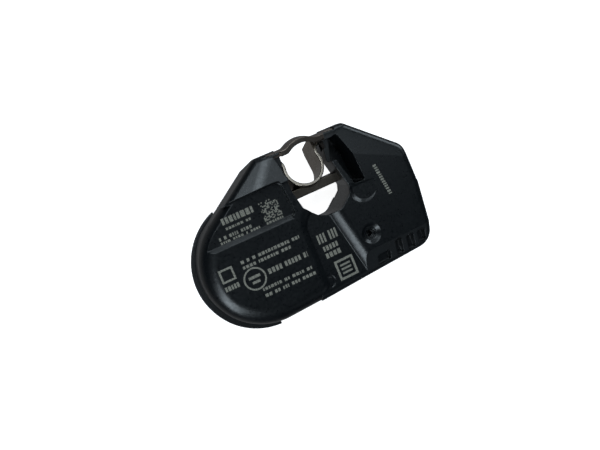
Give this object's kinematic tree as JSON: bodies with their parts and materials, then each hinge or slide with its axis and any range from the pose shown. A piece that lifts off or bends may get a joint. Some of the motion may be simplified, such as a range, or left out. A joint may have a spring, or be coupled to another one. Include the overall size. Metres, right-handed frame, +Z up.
{
  "type": "tyre pressure sensor",
  "caption": "Flat black sensor body with a round cell end, a label pocket and a sprung steel clip across its valve slot, made to ride inside a wheel on the valve stem.",
  "frame": {"origin": "middle of the footprint, on the resting face of the base cover", "axes": "+X along the length, from the round cell end to the square end; +Y to the side that carries the valve clip; +Z up, out of the marked face"},
  "size_m": [0.0618, 0.0434, 0.0143],
  "materials": {
    "housing_plastic": "moulded, fine spark texture",
    "cover_plastic": "moulded, smooth",
    "strap_steel": "rolled strip, deburred edges",
    "spring_steel": "cold-rolled spring strip",
    "saddle_steel": "cold-formed bar",
    "board_laminate": "solder mask",
    "cell_steel": "pressed can",
    "cushion_foam": "closed-cell foam",
    "insulator_film": "film",
    "tab_nickel": "nickel strip",
    "chip_resin": "moulded package",
    "gasket_silicone": "soft silicone",
    "filter_membrane": "porous membrane",
    "core_ferrite": "sintered",
    "winding_wire": "enamelled wire",
    "antenna_metal": "stamped strip",
    "crystal_can": "pressed can",
    "capacitor_ceramic": "fired",
    "resistor_ceramic": "fired, coated",
    "inductor_ferrite": "sintered"
  },
  "bodies": {
    "root": {"housing": "housing_plastic", "base_cover": "cover_plastic", "clip_strap": "strap_steel", "clip_spring": "spring_steel", "clip_saddle": "saddle_steel", "circuit_board": "board_laminate", "coin_cell": "cell_steel", "cell_cushion": "cushion_foam", "cell_insulator": "insulator_film", "cell_tab_top": "tab_nickel", "cell_tab_bottom": "tab_nickel", "sensor_chip": "chip_resin", "port_gasket": "gasket_silicone", "port_filter": "filter_membrane", "lf_coil_core": "core_ferrite", "lf_coil_winding": "winding_wire", "radio_antenna": "antenna_metal", "crystal": "crystal_can", "capacitors": "capacitor_ceramic", "resistors": "resistor_ceramic", "inductors": "inductor_ferrite"}
  },
  "joints": []
}
